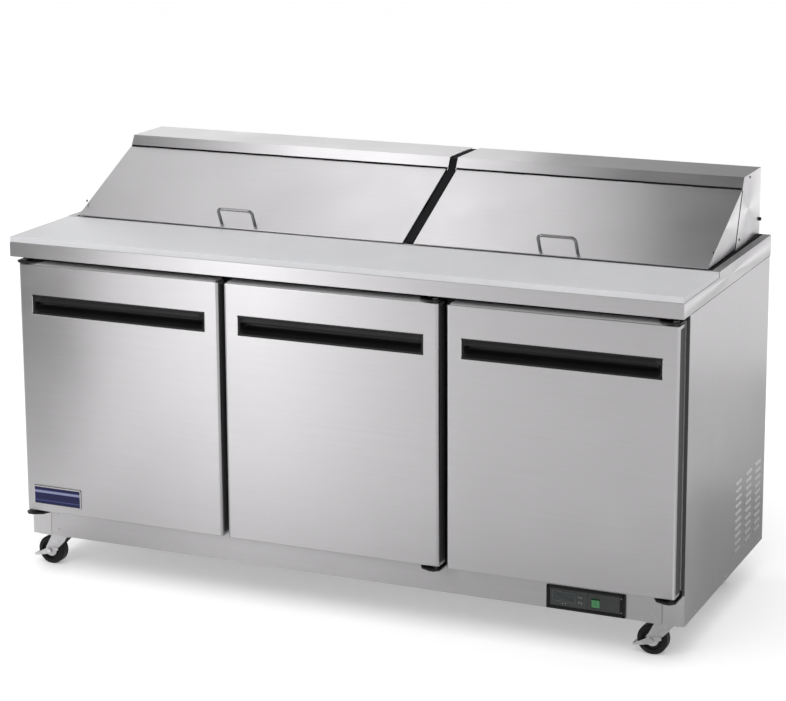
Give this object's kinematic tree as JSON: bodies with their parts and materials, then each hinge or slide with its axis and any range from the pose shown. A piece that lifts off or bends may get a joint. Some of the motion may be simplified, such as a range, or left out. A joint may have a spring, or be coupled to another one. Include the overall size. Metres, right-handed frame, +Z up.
{
  "type": "sandwich prep table",
  "caption": "Refrigerated sandwich prep table on casters: hinged doors, split lifting lids over food pans, full-width cutting board.",
  "frame": {"origin": "on the floor under the centre of the table's bounding box", "axes": "+X to the right seen from the front, +Y from the doors towards the back, +Z up"},
  "size_m": [1.8015, 0.761, 1.076],
  "materials": {
    "stainless": "brushed",
    "liner_aluminium": "satin",
    "board_plastic": "matte",
    "black_plastic": "satin",
    "black_steel": "powder coated",
    "gasket_vinyl": "matte",
    "foam": "matte",
    "inner_panel": "satin",
    "zinc_steel": "zinc plated",
    "caster_tread": "matte",
    "wire_coating": "epoxy coated",
    "badge_blue": "gloss",
    "switch_green": "gloss",
    "panel_grey": "satin",
    "coil_aluminium": "fins"
  },
  "bodies": {
    "cabinet": {"worktop": "stainless", "pan_dividers": "stainless", "food_pans": "stainless", "side_panel_left": "stainless", "side_panel_right": "stainless", "back_panel": "stainless", "cord_gland": "black_plastic", "base_pan": "stainless", "kick_panel": "stainless", "front_frame": "black_plastic", "liner": "liner_aluminium", "insulation": "foam", "wire_shelves": "wire_coating", "hood_left": "stainless", "hood_right": "stainless", "lid_hinge_rods": "zinc_steel", "hood_divider": "black_plastic", "door_hinge_brackets": "black_steel", "door_hinge_pins": "zinc_steel", "control_bezel": "black_plastic", "temperature_controller": "panel_grey", "compressor": "black_steel", "condenser": "coil_aluminium", "evaporator": "coil_aluminium", "caster_plates": "zinc_steel"},
    "cutting_board": {"cutting_board": "board_plastic"},
    "lid_left": {"lid_left_skin": "stainless", "lid_left_inner_panel": "inner_panel", "lid_left_pull": "stainless"},
    "lid_right": {"lid_right_skin": "stainless", "lid_right_inner_panel": "inner_panel", "lid_right_pull": "stainless"},
    "door_left": {"door_left_skin": "stainless", "door_left_inner_panel": "inner_panel", "door_left_gasket": "gasket_vinyl", "door_left_handle": "black_plastic", "door_badge": "badge_blue"},
    "door_middle": {"door_middle_skin": "stainless", "door_middle_inner_panel": "inner_panel", "door_middle_gasket": "gasket_vinyl", "door_middle_handle": "black_plastic"},
    "door_right": {"door_right_skin": "stainless", "door_right_inner_panel": "inner_panel", "door_right_gasket": "gasket_vinyl", "door_right_handle": "black_plastic"},
    "power_rocker": {"power_rocker": "switch_green"},
    "key_up": {"key_up": "panel_grey"},
    "key_down": {"key_down": "panel_grey"},
    "condenser_fan": {"condenser_fan": "black_plastic"},
    "evaporator_fan": {"evaporator_fan": "black_plastic"},
    "caster_front_left_swivel": {"caster_front_left_fork": "zinc_steel"},
    "caster_front_left_wheel": {"caster_front_left_wheel": "caster_tread"},
    "caster_front_left_brake": {"caster_front_left_brake": "zinc_steel"},
    "caster_front_right_swivel": {"caster_front_right_fork": "zinc_steel"},
    "caster_front_right_wheel": {"caster_front_right_wheel": "caster_tread"},
    "caster_front_right_brake": {"caster_front_right_brake": "zinc_steel"},
    "caster_rear_left_swivel": {"caster_rear_left_fork": "zinc_steel"},
    "caster_rear_left_wheel": {"caster_rear_left_wheel": "caster_tread"},
    "caster_rear_right_swivel": {"caster_rear_right_fork": "zinc_steel"},
    "caster_rear_right_wheel": {"caster_rear_right_wheel": "caster_tread"}
  },
  "joints": [
    {"name": "door_left_hinge", "type": "hinge", "parent": "cabinet", "child": "door_left", "pos_m": [-0.8615, -0.354, 0.5], "axis": [0, 0, -1], "range_deg": [0, 100], "stiffness_Nm_per_rad": 1.2, "springref_deg": -20.05},
    {"name": "door_middle_hinge", "type": "hinge", "parent": "cabinet", "child": "door_middle", "pos_m": [0.2755, -0.354, 0.5], "axis": [0, 0, 1], "range_deg": [0, 100], "stiffness_Nm_per_rad": 1.2, "springref_deg": -20.05},
    {"name": "door_right_hinge", "type": "hinge", "parent": "cabinet", "child": "door_right", "pos_m": [0.869, -0.354, 0.5], "axis": [0, 0, 1], "range_deg": [0, 100], "stiffness_Nm_per_rad": 1.2, "springref_deg": -20.05},
    {"name": "lid_left_hinge", "type": "hinge", "parent": "cabinet", "child": "lid_left", "pos_m": [-0.394, 0.2045, 1.0482], "axis": [-1, 0, 0], "range_deg": [0, 120]},
    {"name": "lid_right_hinge", "type": "hinge", "parent": "cabinet", "child": "lid_right", "pos_m": [0.482, 0.2045, 1.0482], "axis": [-1, 0, 0], "range_deg": [0, 120]},
    {"name": "cutting_board_lift", "type": "slide", "parent": "cabinet", "child": "cutting_board", "axis": [0, -0.5, 0.866], "range_m": [0, 0.12]},
    {"name": "caster_front_left_swivel", "type": "hinge", "parent": "cabinet", "child": "caster_front_left_swivel", "pos_m": [-0.832, -0.265, 0.085], "axis": [0, 0, 1], "continuous": true},
    {"name": "caster_front_left_roll", "type": "hinge", "parent": "caster_front_left_swivel", "child": "caster_front_left_wheel", "pos_m": [-0.863, -0.265, 0.038], "axis": [0, 1, 0], "continuous": true},
    {"name": "caster_front_left_brake", "type": "hinge", "parent": "caster_front_left_swivel", "child": "caster_front_left_brake", "pos_m": [-0.863, -0.285, 0.038], "axis": [0, -1, 0], "range_deg": [0, 14]},
    {"name": "caster_front_right_swivel", "type": "hinge", "parent": "cabinet", "child": "caster_front_right_swivel", "pos_m": [0.832, -0.265, 0.085], "axis": [0, 0, 1], "continuous": true},
    {"name": "caster_front_right_roll", "type": "hinge", "parent": "caster_front_right_swivel", "child": "caster_front_right_wheel", "pos_m": [0.801, -0.265, 0.038], "axis": [0, 1, 0], "continuous": true},
    {"name": "caster_front_right_brake", "type": "hinge", "parent": "caster_front_right_swivel", "child": "caster_front_right_brake", "pos_m": [0.801, -0.285, 0.038], "axis": [0, -1, 0], "range_deg": [0, 14]},
    {"name": "caster_rear_left_swivel", "type": "hinge", "parent": "cabinet", "child": "caster_rear_left_swivel", "pos_m": [-0.832, 0.265, 0.085], "axis": [0, 0, 1], "continuous": true},
    {"name": "caster_rear_left_roll", "type": "hinge", "parent": "caster_rear_left_swivel", "child": "caster_rear_left_wheel", "pos_m": [-0.863, 0.265, 0.038], "axis": [0, 1, 0], "continuous": true},
    {"name": "caster_rear_right_swivel", "type": "hinge", "parent": "cabinet", "child": "caster_rear_right_swivel", "pos_m": [0.832, 0.265, 0.085], "axis": [0, 0, 1], "continuous": true},
    {"name": "caster_rear_right_roll", "type": "hinge", "parent": "caster_rear_right_swivel", "child": "caster_rear_right_wheel", "pos_m": [0.801, 0.265, 0.038], "axis": [0, 1, 0], "continuous": true},
    {"name": "power_rocker_tilt", "type": "hinge", "parent": "cabinet", "child": "power_rocker", "pos_m": [0.671, -0.309, 0.1225], "axis": [-1, 0, 0], "range_deg": [0, 14]},
    {"name": "key_up_press", "type": "slide", "parent": "cabinet", "child": "key_up", "axis": [0, 1, 0], "range_m": [0, 0.0008], "stiffness_N_per_m": 500},
    {"name": "key_down_press", "type": "slide", "parent": "cabinet", "child": "key_down", "axis": [0, 1, 0], "range_m": [0, 0.0008], "stiffness_N_per_m": 500},
    {"name": "condenser_fan_spin", "type": "hinge", "parent": "cabinet", "child": "condenser_fan", "pos_m": [0.783, 0.227, 0.215], "axis": [1, 0, 0], "continuous": true},
    {"name": "evaporator_fan_spin", "type": "hinge", "parent": "cabinet", "child": "evaporator_fan", "pos_m": [0, 0.248, 0.685], "axis": [0, 1, 0], "continuous": true}
  ]
}
